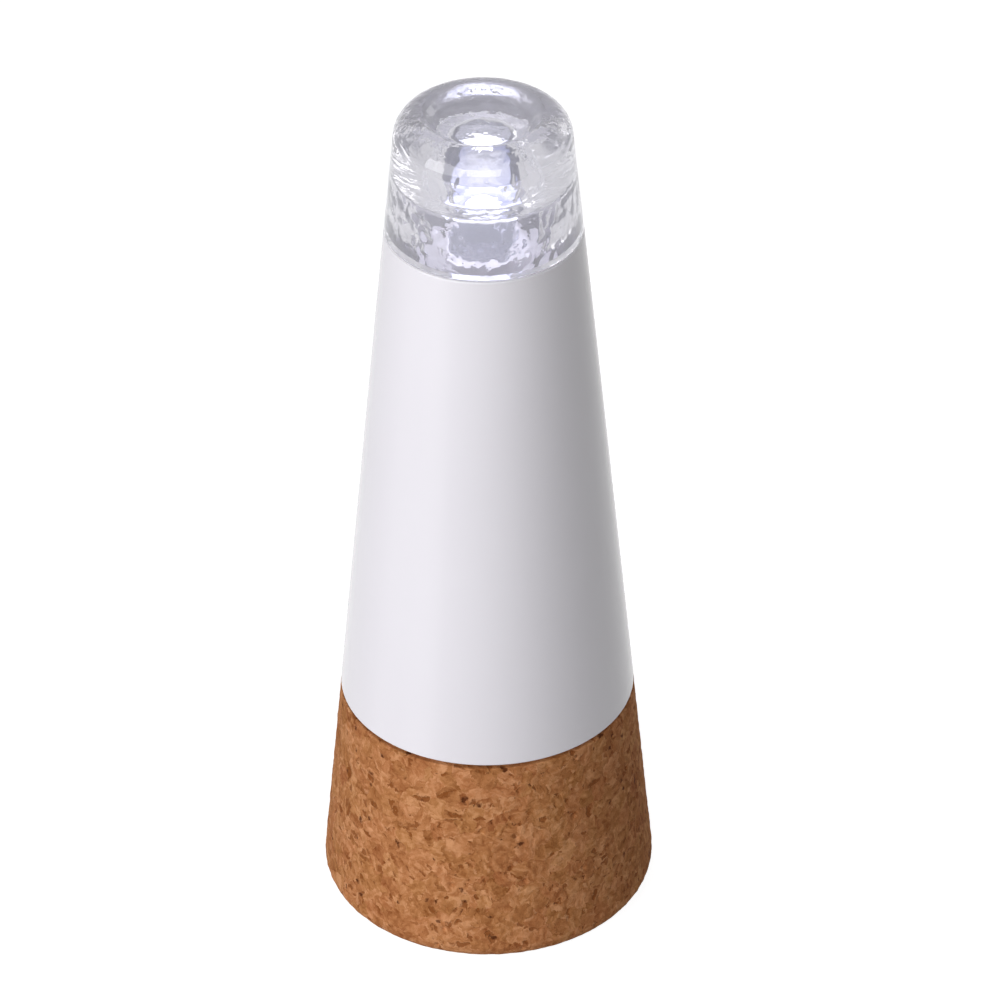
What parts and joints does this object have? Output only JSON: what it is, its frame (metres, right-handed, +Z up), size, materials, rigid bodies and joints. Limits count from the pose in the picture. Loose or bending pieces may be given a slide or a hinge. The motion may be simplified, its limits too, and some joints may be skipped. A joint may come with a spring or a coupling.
{
  "type": "cork bottle light",
  "caption": "Tapered rechargeable light that plugs a bottle's neck: clear lens, white shell and a pull-off cork cap that hides the charging plug and presses the switch.",
  "frame": {"origin": "centre of the cork cap's flat base", "axes": "+Z up along the cone's axis, from the cork base to the clear lens; X across the wide side of the charging plug; Y through its thickness, with the push button on the -Y side"},
  "size_m": [0.0276, 0.0276, 0.074],
  "materials": {
    "cork": "sanded agglomerated cork, matte, with dark and light granules",
    "liner_plastic": "moulded black ABS",
    "black_plastic": "moulded black nylon",
    "white_plastic": "polished white ABS",
    "clear_acrylic": "clear moulded acrylic",
    "plated_steel": "nickel-plated pressed steel",
    "insulator_plastic": "moulded white thermoplastic",
    "gold_plating": "gold-plated copper alloy",
    "circuit_board": "green solder mask on glass-fibre board",
    "chip_resin": "black moulding resin",
    "tin_plating": "tinned steel and copper",
    "resistor_film": "black glazed resistor film",
    "capacitor_ceramic": "tan ceramic",
    "lamp_epoxy": "clear cast epoxy",
    "pouch_foil": "silver laminated pouch film",
    "foam": "self-adhesive foam",
    "nickel": "nickel strip",
    "red_insulation": "red lead insulation",
    "black_insulation": "black lead insulation",
    "glowing_phosphor": "lit phosphor in a reflector cup"
  },
  "bodies": {
    "cap": {"cork_cap": "cork", "cap_liner": "liner_plastic"},
    "button": {"push_button": "liner_plastic", "switch_plunger": "black_plastic"},
    "light": {"body_shell": "white_plastic", "end_plate": "white_plastic", "lamp_holder": "white_plastic", "lens": "clear_acrylic", "usb_shell": "plated_steel", "usb_insulator": "insulator_plastic", "usb_contacts": "gold_plating", "main_board": "circuit_board", "switch_body": "black_plastic", "switch_dome": "plated_steel", "switch_frame": "plated_steel", "charge_chip": "chip_resin", "driver_chip": "chip_resin", "chip_pins": "tin_plating", "resistors": "resistor_film", "capacitors": "capacitor_ceramic", "status_lamp": "lamp_epoxy", "battery_pouch": "pouch_foil", "battery_pad": "foam", "battery_tabs": "nickel", "red_lead": "red_insulation", "black_lead": "black_insulation", "lamp_leads": "tin_plating", "lamp_chip": "glowing_phosphor", "lamp_bulb": "lamp_epoxy"}
  },
  "joints": [
    {"name": "light_lift", "type": "slide", "parent": "cap", "child": "light", "axis": [0, 0, 1], "range_m": [0, 0.025]},
    {"name": "button_press", "type": "slide", "parent": "light", "child": "button", "axis": [0, 0, 1], "range_m": [0, 0.00025], "stiffness_N_per_m": 3000}
  ]
}
